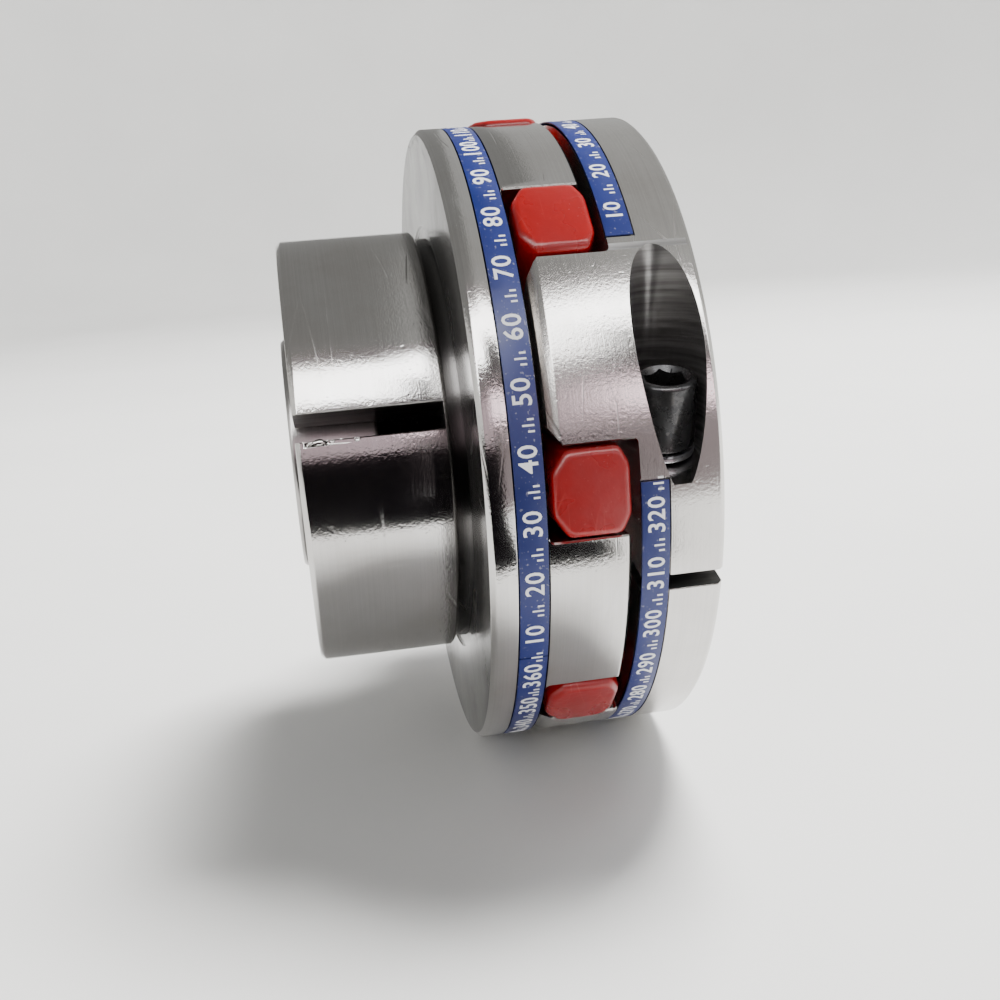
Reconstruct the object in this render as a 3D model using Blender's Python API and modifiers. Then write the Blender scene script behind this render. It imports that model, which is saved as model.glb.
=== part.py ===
"""Elastomer jaw coupling: an expanding-cone hub, an eight-arm spider and a clamping hub.

The coupling axis is X. X = 0 is the flange's outer face, the slit boss lies on the -X side
and the clamping hub on the +X side. Angles are measured about +X, from +Y towards +Z.
"""

import math

import bmesh
import bpy
from mathutils import Vector

MM = 0.001
GAP = 0.3 * MM
SEGMENTS = 64
SMALL_SEGMENTS = 32

# Overall envelope
OUTER_RADIUS = 41.0 * MM
RIM_CHAMFER = 0.6 * MM

# Stations along the axis
BOSS_END = -19.3 * MM
BOSS_ROOT = -1.5 * MM
HUB_FLOOR = 6.7 * MM
HUB_JAW_TIP = 16.0 * MM
CLAMP_FLOOR = 17.1 * MM
CLAMP_JAW_TIP = 7.5 * MM
CLAMP_END = 26.7 * MM

# Slit boss and the cone inside it
BOSS_RADIUS = 28.2 * MM
NECK_RADIUS = 27.2 * MM
UNDERCUT_RADIUS = 28.8 * MM
UNDERCUT_DEPTH = 0.4 * MM
BOSS_SLIT_WIDTH = 3.2 * MM
BOSS_SLIT_ANGLE = math.radians(164.0)
BOSS_SLIT_END = -2.0 * MM
BOSS_SLIT_INNER = 12.0 * MM
CONE_OUTER_END = -20.1 * MM
CONE_INNER_END = -9.0 * MM
CONE_RADIUS = 15.5 * MM
CONE_TAPER = 0.12
CONE_THREAD_RADIUS = 5.3 * MM
PIN_RADIUS = 1.1 * MM
PIN_STATION = -15.8 * MM
PIN_INNER = 10.0 * MM
PIN_OUTER = 20.0 * MM

# Draw screw, through the web of the expanding hub
SCREW_SEAT = 2.5 * MM
SCREW_HOLE_RADIUS = 5.6 * MM
SEAT_RADIUS = 10.6 * MM
DRAW_WASHER_RADIUS = 10.0 * MM
DRAW_WASHER_THICKNESS = 1.6 * MM
DRAW_SHANK_RADIUS = 5.0 * MM
DRAW_HEAD_RADIUS = 8.0 * MM
DRAW_HEAD_HEIGHT = 10.0 * MM
DRAW_KEY_WIDTH = 8.0 * MM
DRAW_SCREW_TIP = -18.9 * MM

# Jaws and spider
JAWS = 4
ARMS = 2 * JAWS
ARM_PITCH = 2 * math.pi / ARMS
HUB_JAW_ANGLE = ARM_PITCH / 2
CLAMP_JAW_ANGLE = HUB_JAW_ANGLE + ARM_PITCH
JAW_FLANK_OFFSET = 5.25 * MM
JAW_INNER_RADIUS = 23.0 * MM
JAW_ROOT_RADIUS = 0.6 * MM
HUB_JAW_CORNER = (0.4 * MM, 0.4 * MM)
HUB_JAW_CHAMFER = 0.5 * MM
CLAMP_JAW_CORNER = (1.4 * MM, 2.0 * MM)
CLAMP_JAW_CHAMFER = 1.2 * MM
ARM_LOW = HUB_FLOOR + 0.6 * MM
ARM_HIGH = CLAMP_FLOOR - 1.1 * MM
ARM_HALF_THICKNESS = JAW_FLANK_OFFSET - 0.35 * MM
ARM_OUTER = 41.4 * MM
ARM_LOW_CORNER = (1.6 * MM, 2.5 * MM)
ARM_HIGH_CORNER = (1.1 * MM, 2.1 * MM)
ARM_EDGE = 0.9 * MM
RING_INNER_RADIUS = 15.0 * MM
RING_OUTER_RADIUS = 22.5 * MM
ARM_ROOT_RADIUS = RING_OUTER_RADIUS - 3.0 * MM

# Clamping hub, its slit and its screw
BORE_RADIUS = 19.0 * MM
CLAMP_SLIT_ANGLE = math.radians(196.7)
CLAMP_SLIT_WIDTH = 1.9 * MM
CLAMP_SLIT_INNER = BORE_RADIUS - 2.0 * MM
CLAMP_SCREW_STATION = 21.8 * MM
CLAMP_SCREW_RADIAL = 31.6 * MM
POCKET_HALF_WIDTH = 3.9 * MM
POCKET_HALF_LENGTH = 8.0 * MM
POCKET_FLOOR = 11.6 * MM
CLAMP_HOLE_RADIUS = 2.35 * MM
CLAMP_HOLE_DEPTH = 14.0 * MM
CLAMP_WASHER_RADIUS = 3.55 * MM
CLAMP_WASHER_THICKNESS = 0.9 * MM
CLAMP_SHANK_RADIUS = 2.0 * MM
CLAMP_HEAD_RADIUS = 3.5 * MM
CLAMP_HEAD_HEIGHT = 8.0 * MM
CLAMP_KEY_WIDTH = 4.4 * MM
CLAMP_SCREW_TIP = -12.5 * MM

# Label bands, each flush in a shallow groove
GROOVE_DEPTH = 0.5 * MM
BAND_THICKNESS = 0.2 * MM
HUB_GROOVE = (3.1 * MM, HUB_FLOOR)
CLAMP_GROOVE = (CLAMP_FLOOR - 0.1 * MM, 20.4 * MM)
BAND_OPENING_CENTRE = math.radians(159.5)
BAND_OPENING_HALF_ANGLE = math.radians(19.4)

# Room that a cutter runs past the faces it cuts
OVERRUN = 1.0 * MM
REACH = 70.0 * MM


def clear_scene():
    for obj in list(bpy.data.objects):
        bpy.data.objects.remove(obj, do_unlink=True)


def collection(name):
    made = bpy.data.collections.new(name)
    bpy.context.scene.collection.children.link(made)
    return made


def material(name, colour, roughness, metallic):
    made = bpy.data.materials.new(name)
    made.use_nodes = True
    shader = made.node_tree.nodes["Principled BSDF"]
    shader.inputs["Base Color"].default_value = (*colour, 1.0)
    shader.inputs["Roughness"].default_value = roughness
    shader.inputs["Metallic"].default_value = metallic
    return made


def empty(name, location, rotation):
    made = bpy.data.objects.new(name, None)
    made.location = location
    made.rotation_euler = rotation
    PARTS.objects.link(made)
    return made


def add_object(name, mesh, parent=None, finish=None):
    made = bpy.data.objects.new(name, mesh)
    made.parent = parent
    if finish:
        mesh.materials.append(finish)
        mesh.shade_smooth()
        mesh.set_sharp_from_angle(angle=math.radians(30))
        PARTS.objects.link(made)
    else:
        made.hide_render = True
        made.display_type = "WIRE"
        CUTTERS.objects.link(made)
    return made


def turned(name, profile, parent, finish=None, segments=SEGMENTS):
    """A shape turned about its parent's Z. The profile is (station, radius) points, down the
    outer side from the highest station. It ends on the axis, or it goes back up the inner side
    and is closed."""
    mesh = bpy.data.meshes.new(name)
    points = [(radius, 0.0, station) for station, radius in profile]
    edges = [(i, i + 1) for i in range(len(points) - 1)]
    if profile[-1][1] > 0:
        edges.append((len(points) - 1, 0))
    mesh.from_pydata(points, edges, [])
    made = add_object(name, mesh, parent, finish)
    screw = made.modifiers.new("turn", "SCREW")
    screw.axis = "Z"
    screw.steps = segments
    screw.render_steps = segments
    screw.use_merge_vertices = True
    screw.merge_threshold = 0.00001
    return made


def box_cutter(name, low, high, angle=0.0):
    """A box between two corners, turned by angle about the coupling axis."""
    mesh = bpy.data.meshes.new(name)
    work = bmesh.new()
    bmesh.ops.create_cube(work, size=1.0)
    low = Vector(low)
    high = Vector(high)
    bmesh.ops.scale(work, vec=high - low, verts=work.verts)
    bmesh.ops.translate(work, vec=(high + low) / 2, verts=work.verts)
    work.to_mesh(mesh)
    work.free()
    made = add_object(name, mesh)
    made.rotation_euler = (angle, 0.0, 0.0)
    return made


def cylinder_cutter(name, low, high, radius, parent, segments=SMALL_SEGMENTS, stretch=1.0):
    """A cylinder along its parent's Z, stretched along its parent's Y into an ellipse."""
    mesh = bpy.data.meshes.new(name)
    work = bmesh.new()
    bmesh.ops.create_cone(
        work, cap_ends=True, segments=segments, radius1=radius, radius2=radius, depth=high - low
    )
    bmesh.ops.scale(work, vec=(1.0, stretch, 1.0), verts=work.verts)
    bmesh.ops.translate(work, vec=(0.0, 0.0, (high + low) / 2), verts=work.verts)
    work.to_mesh(mesh)
    work.free()
    return add_object(name, mesh, parent)


def wedge_cutter(name, sections, half_angle, angle):
    """A wedge that opens outwards along +Y, then turned by angle about the coupling axis.
    Each section is (station, offset): how far the wedge's sides lie from the axis."""
    mesh = bpy.data.meshes.new(name)
    work = bmesh.new()
    rings = []
    for station, offset in sections:
        apex = -offset / math.sin(half_angle)
        half_width = (REACH - apex) * math.tan(half_angle)
        corners = [(apex, 0.0), (REACH, half_width), (REACH, -half_width)]
        rings.append([work.verts.new((station, y, z)) for y, z in corners])
    for first, second in zip(rings, rings[1:]):
        for i in range(3):
            j = (i + 1) % 3
            work.faces.new((first[i], first[j], second[j], second[i]))
    work.faces.new(rings[0])
    work.faces.new(rings[-1])
    bmesh.ops.recalc_face_normals(work, faces=work.faces)
    work.to_mesh(mesh)
    work.free()
    made = add_object(name, mesh)
    made.rotation_euler = (angle, 0.0, 0.0)
    return made


def boolean(target, other, operation="DIFFERENCE"):
    step = target.modifiers.new(other.name, "BOOLEAN")
    step.operation = operation
    step.solver = "EXACT"
    step.object = other


def cut_jaw_gaps(hub, floor, tip, first_angle, corner):
    """Cuts the gaps between one hub's jaws. The flanks are rounded into the floor, and their
    corners are cut back at the tips by corner: a length along the axis and a depth."""
    outwards = math.copysign(1.0, tip - floor)
    length, depth = corner
    sections = []
    for turn in (0.0, 30.0, 60.0, 90.0):
        rise = JAW_ROOT_RADIUS * (1.0 - math.cos(math.radians(turn)))
        inset = JAW_ROOT_RADIUS * (1.0 - math.sin(math.radians(turn)))
        sections.append((floor + outwards * rise, JAW_FLANK_OFFSET - inset))
    sections.append((tip - outwards * length, JAW_FLANK_OFFSET))
    sections.append((tip, JAW_FLANK_OFFSET + depth))
    sections.append((tip + outwards * OVERRUN, JAW_FLANK_OFFSET + depth))
    for i in range(JAWS):
        angle = first_angle + i * 2 * ARM_PITCH
        gap = wedge_cutter(f"{hub.name}_gap_{i}", sections, ARM_PITCH / 2, angle)
        boolean(hub, gap)


def cone_radius(station):
    return CONE_RADIUS - CONE_TAPER * (station - CONE_OUTER_END)


def make_expanding_hub():
    relief = CONE_INNER_END + GAP
    groove_radius = OUTER_RADIUS - GROOVE_DEPTH
    edge = 0.4 * MM
    profile = [
        (HUB_JAW_TIP, OUTER_RADIUS - HUB_JAW_CHAMFER),
        (HUB_JAW_TIP - HUB_JAW_CHAMFER, OUTER_RADIUS),
        (HUB_GROOVE[1], OUTER_RADIUS),
        (HUB_GROOVE[1], groove_radius),
        (HUB_GROOVE[0], groove_radius),
        (HUB_GROOVE[0], OUTER_RADIUS),
        (RIM_CHAMFER, OUTER_RADIUS),
        (0.0, OUTER_RADIUS - RIM_CHAMFER),
        (0.0, UNDERCUT_RADIUS),
        (UNDERCUT_DEPTH, UNDERCUT_RADIUS),
        (UNDERCUT_DEPTH, NECK_RADIUS),
        (BOSS_ROOT, NECK_RADIUS),
        (BOSS_ROOT, BOSS_RADIUS - edge),
        (BOSS_ROOT - edge, BOSS_RADIUS),
        (BOSS_END + RIM_CHAMFER, BOSS_RADIUS),
        (BOSS_END, BOSS_RADIUS - RIM_CHAMFER),
        (BOSS_END, cone_radius(BOSS_END) + GAP),
        (relief, cone_radius(relief) + GAP),
        (BOSS_SLIT_END, cone_radius(relief) + GAP),
        (BOSS_SLIT_END, SCREW_HOLE_RADIUS),
        (SCREW_SEAT, SCREW_HOLE_RADIUS),
        (SCREW_SEAT, SEAT_RADIUS),
        (HUB_FLOOR - edge, SEAT_RADIUS),
        (HUB_FLOOR, SEAT_RADIUS + edge),
        (HUB_FLOOR, JAW_INNER_RADIUS),
        (HUB_JAW_TIP - edge, JAW_INNER_RADIUS),
        (HUB_JAW_TIP, JAW_INNER_RADIUS + edge),
    ]
    hub = turned("expanding_hub", profile, COUPLING_AXIS, STEEL)
    cut_jaw_gaps(hub, HUB_FLOOR, HUB_JAW_TIP, CLAMP_JAW_ANGLE, HUB_JAW_CORNER)
    low = (BOSS_END - OVERRUN, BOSS_SLIT_INNER, -BOSS_SLIT_WIDTH / 2)
    high = (BOSS_SLIT_END, BOSS_RADIUS + OVERRUN, BOSS_SLIT_WIDTH / 2)
    for i in range(JAWS):
        angle = BOSS_SLIT_ANGLE + i * 2 * ARM_PITCH
        boolean(hub, box_cutter(f"boss_slit_{i}", low, high, angle))


def make_expansion_cone():
    edge = 0.4 * MM
    profile = [
        (CONE_INNER_END, cone_radius(CONE_INNER_END) - edge),
        (CONE_INNER_END - edge, cone_radius(CONE_INNER_END - edge)),
        (CONE_OUTER_END + edge, cone_radius(CONE_OUTER_END + edge)),
        (CONE_OUTER_END, CONE_RADIUS - edge),
        (CONE_OUTER_END, CONE_THREAD_RADIUS + edge),
        (CONE_OUTER_END + edge, CONE_THREAD_RADIUS),
        (CONE_INNER_END, CONE_THREAD_RADIUS),
    ]
    cone = turned("expansion_cone", profile, COUPLING_AXIS, DARK_STEEL, segments=48)
    hole = cylinder_cutter("cone_pin_hole", PIN_INNER - GAP, PIN_OUTER, PIN_RADIUS + GAP, PIN_AXIS, 16)
    boolean(cone, hole)


def make_cone_pin():
    edge = 0.2 * MM
    profile = [
        (PIN_OUTER, 0.0),
        (PIN_OUTER, PIN_RADIUS - edge),
        (PIN_OUTER - edge, PIN_RADIUS),
        (PIN_INNER, PIN_RADIUS),
        (PIN_INNER, 0.0),
    ]
    turned("cone_pin", profile, PIN_AXIS, DARK_STEEL, segments=16)


def cap_screw(name, axis, seat, shank, head, tip, key_width, finish):
    """A socket-head cap screw along axis' Z: shank and head are radii, seat is under the head."""
    head_radius, head_height = head
    top = seat + head_height
    edge = head_radius * 0.08
    profile = [
        (top, 0.0),
        (top, head_radius - edge),
        (top - edge, head_radius),
        (seat, head_radius),
        (seat, shank),
        (tip + edge, shank),
        (tip, shank - edge),
        (tip, 0.0),
    ]
    screw = turned(name, profile, axis, finish, segments=SMALL_SEGMENTS)
    socket_radius = key_width / math.sqrt(3)
    socket_floor = top - head_height * 0.5
    socket = cylinder_cutter(f"{name}_socket", socket_floor, top + OVERRUN, socket_radius, axis, 6)
    boolean(screw, socket)


def washer(name, axis, seat, thickness, inner, outer, finish):
    profile = [
        (seat + thickness, outer),
        (seat, outer),
        (seat, inner),
        (seat + thickness, inner),
    ]
    turned(name, profile, axis, finish, segments=SMALL_SEGMENTS)


def make_draw_screw():
    washer_seat = SCREW_SEAT + GAP
    head_seat = washer_seat + DRAW_WASHER_THICKNESS + GAP
    washer(
        "draw_screw_washer",
        COUPLING_AXIS,
        washer_seat,
        DRAW_WASHER_THICKNESS,
        SCREW_HOLE_RADIUS,
        DRAW_WASHER_RADIUS,
        ZINC,
    )
    cap_screw(
        "draw_screw",
        COUPLING_AXIS,
        head_seat,
        DRAW_SHANK_RADIUS,
        (DRAW_HEAD_RADIUS, DRAW_HEAD_HEIGHT),
        DRAW_SCREW_TIP,
        DRAW_KEY_WIDTH,
        BLACK_OXIDE,
    )


def arm_mesh(name):
    """One spider arm along +Y: a block with its corners cut, most on the flange side."""
    side = ARM_HALF_THICKNESS
    low_length, low_depth = ARM_LOW_CORNER
    high_length, high_depth = ARM_HIGH_CORNER
    half_outline = [
        (ARM_LOW, side - low_depth),
        (ARM_LOW + low_length, side),
        (ARM_HIGH - high_length, side),
        (ARM_HIGH, side - high_depth),
    ]
    outline = half_outline + [(x, -z) for x, z in reversed(half_outline)]
    mesh = bpy.data.meshes.new(name)
    work = bmesh.new()
    face = work.faces.new([work.verts.new((x, ARM_ROOT_RADIUS, z)) for x, z in outline])
    grown = bmesh.ops.extrude_face_region(work, geom=[face])["geom"]
    top = [item for item in grown if isinstance(item, bmesh.types.BMVert)]
    bmesh.ops.translate(work, vec=(0.0, ARM_OUTER - ARM_ROOT_RADIUS, 0.0), verts=top)
    bmesh.ops.recalc_face_normals(work, faces=work.faces)
    rim = [edge for edge in work.edges if all(vert in top for vert in edge.verts)]
    bmesh.ops.bevel(work, geom=rim, offset=ARM_EDGE, segments=2, profile=0.5, affect="EDGES")
    work.to_mesh(mesh)
    work.free()
    return mesh


def make_spider():
    low = ARM_LOW + GAP
    high = ARM_HIGH - GAP
    edge = 0.5 * MM
    profile = [
        (high, RING_OUTER_RADIUS - edge),
        (high - edge, RING_OUTER_RADIUS),
        (low + edge, RING_OUTER_RADIUS),
        (low, RING_OUTER_RADIUS - edge),
        (low, RING_INNER_RADIUS + edge),
        (low + edge, RING_INNER_RADIUS),
        (high - edge, RING_INNER_RADIUS),
        (high, RING_INNER_RADIUS + edge),
    ]
    spider = turned("spider", profile, COUPLING_AXIS, RED)
    for i in range(ARMS):
        arm = add_object(f"arm_{i}", arm_mesh(f"arm_{i}"))
        arm.rotation_euler = (i * ARM_PITCH, 0.0, 0.0)
        boolean(spider, arm, "UNION")


def make_clamping_hub():
    groove_radius = OUTER_RADIUS - GROOVE_DEPTH
    edge = 0.5 * MM
    profile = [
        (CLAMP_END, OUTER_RADIUS - RIM_CHAMFER),
        (CLAMP_END - RIM_CHAMFER, OUTER_RADIUS),
        (CLAMP_JAW_TIP + CLAMP_JAW_CHAMFER, OUTER_RADIUS),
        (CLAMP_JAW_TIP, OUTER_RADIUS - CLAMP_JAW_CHAMFER),
        (CLAMP_JAW_TIP, JAW_INNER_RADIUS + edge),
        (CLAMP_JAW_TIP + edge, JAW_INNER_RADIUS),
        (CLAMP_FLOOR, JAW_INNER_RADIUS),
        (CLAMP_FLOOR, BORE_RADIUS + edge),
        (CLAMP_FLOOR + edge, BORE_RADIUS),
        (CLAMP_END - edge, BORE_RADIUS),
        (CLAMP_END, BORE_RADIUS + edge),
    ]
    hub = turned("clamping_hub", profile, COUPLING_AXIS, STEEL)
    cut_jaw_gaps(hub, CLAMP_FLOOR, CLAMP_JAW_TIP, HUB_JAW_ANGLE, CLAMP_JAW_CORNER)
    boolean(hub, make_band_ring("clamp_groove", CLAMP_GROOVE, groove_radius, REACH, None))
    low = (CLAMP_FLOOR - OVERRUN, CLAMP_SLIT_INNER, -CLAMP_SLIT_WIDTH / 2)
    high = (CLAMP_END + OVERRUN, OUTER_RADIUS + OVERRUN, CLAMP_SLIT_WIDTH / 2)
    boolean(hub, box_cutter("clamp_slit", low, high, CLAMP_SLIT_ANGLE))
    pocket = cylinder_cutter(
        "screw_pocket",
        POCKET_FLOOR,
        REACH,
        POCKET_HALF_WIDTH,
        CLAMP_SCREW_AXIS,
        SEGMENTS,
        POCKET_HALF_LENGTH / POCKET_HALF_WIDTH,
    )
    boolean(hub, pocket)
    hole_top = POCKET_FLOOR + OVERRUN
    hole = cylinder_cutter(
        "screw_hole", -CLAMP_HOLE_DEPTH, hole_top, CLAMP_HOLE_RADIUS, CLAMP_SCREW_AXIS
    )
    boolean(hub, hole)


def make_clamping_screw():
    washer_seat = POCKET_FLOOR + GAP
    head_seat = washer_seat + CLAMP_WASHER_THICKNESS + GAP
    washer(
        "clamping_screw_washer",
        CLAMP_SCREW_AXIS,
        washer_seat,
        CLAMP_WASHER_THICKNESS,
        CLAMP_HOLE_RADIUS,
        CLAMP_WASHER_RADIUS,
        ZINC,
    )
    cap_screw(
        "clamping_screw",
        CLAMP_SCREW_AXIS,
        head_seat,
        CLAMP_SHANK_RADIUS,
        (CLAMP_HEAD_RADIUS, CLAMP_HEAD_HEIGHT),
        CLAMP_SCREW_TIP,
        CLAMP_KEY_WIDTH,
        BLACK_OXIDE,
    )


def make_band_ring(name, stations, inner, outer, finish, margin=0.0):
    """A ring with the front jaw's sector left open, where the band is interrupted."""
    profile = [
        (stations[1] - margin, outer),
        (stations[0] + margin, outer),
        (stations[0] + margin, inner),
        (stations[1] - margin, inner),
    ]
    ring = turned(name, profile, COUPLING_AXIS, finish)
    half_angle = BAND_OPENING_HALF_ANGLE + margin / OUTER_RADIUS
    span = (stations[0] - OVERRUN, stations[1] + OVERRUN)
    sections = [(station, 0.01 * MM) for station in span]
    boolean(ring, wedge_cutter(f"{name}_opening", sections, half_angle, BAND_OPENING_CENTRE))
    return ring


def make_label_bands():
    outer = OUTER_RADIUS
    inner = outer - BAND_THICKNESS
    low = HUB_GROOVE[0] + GAP
    high = HUB_GROOVE[1] - GAP
    profile = [(high, outer), (low, outer), (low, inner), (high, inner)]
    turned("flange_label_band", profile, COUPLING_AXIS, BLUE)
    make_band_ring("clamp_label_band", CLAMP_GROOVE, inner, outer, BLUE, margin=GAP)


def axis_frame(name, station, radial, angle, tilt):
    """An empty whose Z is the axis of what is parented to it."""
    direction = Vector((0.0, math.cos(angle), math.sin(angle)))
    location = Vector((station, 0.0, 0.0)) + radial * direction
    return empty(name, location, tilt)


clear_scene()
PARTS = collection("jaw_coupling")
CUTTERS = collection("cutters")

STEEL = material("turned_steel", (0.60, 0.59, 0.58), 0.28, 1.0)
DARK_STEEL = material("ground_steel", (0.42, 0.41, 0.40), 0.35, 1.0)
ZINC = material("zinc_plate", (0.55, 0.56, 0.58), 0.30, 1.0)
BLACK_OXIDE = material("black_oxide", (0.035, 0.035, 0.038), 0.38, 0.6)
RED = material("red_elastomer", (0.55, 0.012, 0.015), 0.25, 0.0)
BLUE = material("blue_band", (0.03, 0.07, 0.25), 0.35, 0.0)

COUPLING_AXIS = axis_frame("coupling_axis", 0.0, 0.0, 0.0, (0.0, math.pi / 2, 0.0))
FAR_SLIT_ANGLE = BOSS_SLIT_ANGLE + math.pi
PIN_TILT = FAR_SLIT_ANGLE - math.pi / 2
PIN_AXIS = axis_frame("pin_axis", PIN_STATION, 0.0, 0.0, (PIN_TILT, 0.0, 0.0))
SCREW_TILT = CLAMP_SLIT_ANGLE - math.pi
CLAMP_SCREW_AXIS = axis_frame(
    "clamp_screw_axis",
    CLAMP_SCREW_STATION,
    CLAMP_SCREW_RADIAL,
    CLAMP_SLIT_ANGLE,
    (SCREW_TILT, 0.0, 0.0),
)

make_expanding_hub()
make_expansion_cone()
make_cone_pin()
make_draw_screw()
make_spider()
make_clamping_hub()
make_clamping_screw()
make_label_bands()
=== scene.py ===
import math
import random

import bmesh
import bpy
from mathutils import Matrix, Vector


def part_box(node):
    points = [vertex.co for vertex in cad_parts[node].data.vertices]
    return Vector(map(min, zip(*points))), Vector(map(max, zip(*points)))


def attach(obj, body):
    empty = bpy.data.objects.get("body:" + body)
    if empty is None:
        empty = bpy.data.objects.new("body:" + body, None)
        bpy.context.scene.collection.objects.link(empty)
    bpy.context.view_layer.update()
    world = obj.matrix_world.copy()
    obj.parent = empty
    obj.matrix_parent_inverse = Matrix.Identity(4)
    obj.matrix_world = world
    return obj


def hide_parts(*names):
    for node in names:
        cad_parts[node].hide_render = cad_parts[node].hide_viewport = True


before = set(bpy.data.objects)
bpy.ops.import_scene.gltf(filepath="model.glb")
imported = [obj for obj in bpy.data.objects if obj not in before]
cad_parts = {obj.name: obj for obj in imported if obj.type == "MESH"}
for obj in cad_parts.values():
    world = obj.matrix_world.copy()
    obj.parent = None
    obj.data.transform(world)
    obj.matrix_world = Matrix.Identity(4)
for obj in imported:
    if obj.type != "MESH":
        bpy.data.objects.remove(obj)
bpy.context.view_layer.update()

MM = 0.001
SCENE = bpy.context.scene

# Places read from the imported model
HUB_LOW, HUB_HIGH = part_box("expanding_hub")
CLAMP_LOW, CLAMP_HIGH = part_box("clamping_hub")
SPIDER_LOW, SPIDER_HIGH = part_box("spider")
CONE_LOW, CONE_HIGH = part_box("expansion_cone")
FLANGE_BAND_LOW, FLANGE_BAND_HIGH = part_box("flange_label_band")
CLAMP_BAND_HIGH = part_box("clamp_label_band")[1]
DRAW_LOW, DRAW_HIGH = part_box("draw_screw")
DRAW_WASHER_LOW, DRAW_WASHER_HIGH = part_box("draw_screw_washer")

OUTER_RADIUS = HUB_HIGH.z
BOSS_END = HUB_LOW.x
HUB_JAW_TIP = HUB_HIGH.x
CLAMP_JAW_TIP = CLAMP_LOW.x
CLAMP_END = CLAMP_HIGH.x
ARM_LOW = SPIDER_LOW.x
ARM_HIGH = SPIDER_HIGH.x
ARM_OUTER = SPIDER_HIGH.z
CONE_OUTER_END = CONE_LOW.x
CONE_INNER_END = CONE_HIGH.x
CONE_RADIUS = CONE_HIGH.z

# Sizes that the boxes don't give
GAP = 0.3 * MM
BOSS_ROOT = -1.5 * MM
BOSS_RADIUS = 28.2 * MM
NECK_RADIUS = 27.2 * MM
UNDERCUT_RADIUS = 28.8 * MM
UNDERCUT_DEPTH = 0.4 * MM
BOSS_SLIT_WIDTH = 3.2 * MM
BOSS_SLIT_ANGLE = math.radians(164.0)
BOSS_SLIT_END = -2.0 * MM
BOSS_SLIT_INNER = 12.0 * MM
CONE_TAPER = 0.12
CONE_THREAD_RADIUS = 5.3 * MM
SCREW_SEAT = 2.5 * MM
SCREW_HOLE_RADIUS = 5.6 * MM
SEAT_RADIUS = 10.6 * MM
HUB_FLOOR = 6.7 * MM
CLAMP_FLOOR = 17.1 * MM
RIM_CHAMFER = 0.6 * MM
JAWS = 4
ARM_PITCH = math.pi / JAWS
HUB_JAW_ANGLE = ARM_PITCH / 2
CLAMP_JAW_ANGLE = HUB_JAW_ANGLE + ARM_PITCH
JAW_FLANK_OFFSET = 5.25 * MM
JAW_INNER_RADIUS = 23.0 * MM
JAW_ROOT_RADIUS = 0.6 * MM
HUB_JAW_CORNER = (0.4 * MM, 0.4 * MM)
HUB_JAW_CHAMFER = 0.5 * MM
CLAMP_JAW_CORNER = (1.4 * MM, 2.0 * MM)
CLAMP_JAW_CHAMFER = 1.2 * MM
ARM_HALF_THICKNESS = 4.9 * MM
ARM_LOW_CORNER = (1.6 * MM, 2.5 * MM)
ARM_HIGH_CORNER = (1.1 * MM, 2.1 * MM)
ARM_EDGE = 0.9 * MM
RING_INNER_RADIUS = 15.0 * MM
RING_OUTER_RADIUS = 22.5 * MM
BORE_RADIUS = 19.0 * MM
CLAMP_SLIT_ANGLE = math.radians(196.7)
CLAMP_SLIT_WIDTH = 1.9 * MM
CLAMP_SCREW_STATION = 21.8 * MM
CLAMP_SCREW_RADIAL = 31.6 * MM
POCKET_HALF_WIDTH = 3.9 * MM
POCKET_HALF_LENGTH = 8.0 * MM
POCKET_FLOOR = 11.6 * MM
CLAMP_HOLE_RADIUS = 2.35 * MM
CLAMP_HOLE_DEPTH = 14.0 * MM
CLAMP_WASHER_RADIUS = 3.55 * MM
CLAMP_WASHER_THICKNESS = 0.9 * MM
CLAMP_HEAD_RADIUS = 3.5 * MM
CLAMP_HEAD_HEIGHT = 8.0 * MM
CLAMP_KEY_WIDTH = 4.4 * MM
CLAMP_SHANK_RADIUS = 2.0 * MM
CLAMP_THREAD_PITCH = 0.7 * MM
CLAMP_SCREW_TIP = -12.5 * MM
DRAW_SHANK_RADIUS = 5.0 * MM
DRAW_THREAD_PITCH = 1.5 * MM
DRAW_KEY_WIDTH = 8.0 * MM
GROOVE_DEPTH = 0.5 * MM
BAND_OPENING_CENTRE = math.radians(159.5)
BAND_OPENING_HALF_ANGLE = math.radians(19.4)
FLANGE_BAND_SEAM = math.radians(209.0)
HUB_EDGE = 0.4 * MM
BORE_EDGE = 0.5 * MM
ARM_CORNER_EASE = 0.55 * MM
RING_EASE = 0.6 * MM
WASHER_EASE = 0.25 * MM
RING_OVERLAP = 3.0 * MM
SLIT_OVERCUT = 2.0 * MM
THREAD_OVERLAP = 0.2 * MM
NICKS = 4
NICK_SIZES = (0.22 * MM, 0.45 * MM)
KNURL_FLUTES = 48
KNURL_DEPTH = 0.02
ROOT_TURNS = (0.0, 22.5, 45.0, 67.5, 90.0)
EDGE_TURNS = (0.0, 15.0, 35.0, 55.0, 75.0, 90.0)

# Screws, as shares of the head's radius, its height, the key's width and the thread's pitch
HEAD_EASE = 0.09
HEAD_SOFTNESS = 0.08
SOCKET_DEPTH = 0.5
SOCKET_POINT = 0.3
MOUTH_EASE = 0.06
THREAD_DEPTH = 0.55
THREAD_SHAPE = ((0.0, 0.0), (0.12, 0.0), (0.45, 1.0), (0.55, 1.0), (0.88, 0.0))
MERGE_DISTANCE = 0.002 * MM
LEAST_EDGE = 0.001 * MM

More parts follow.
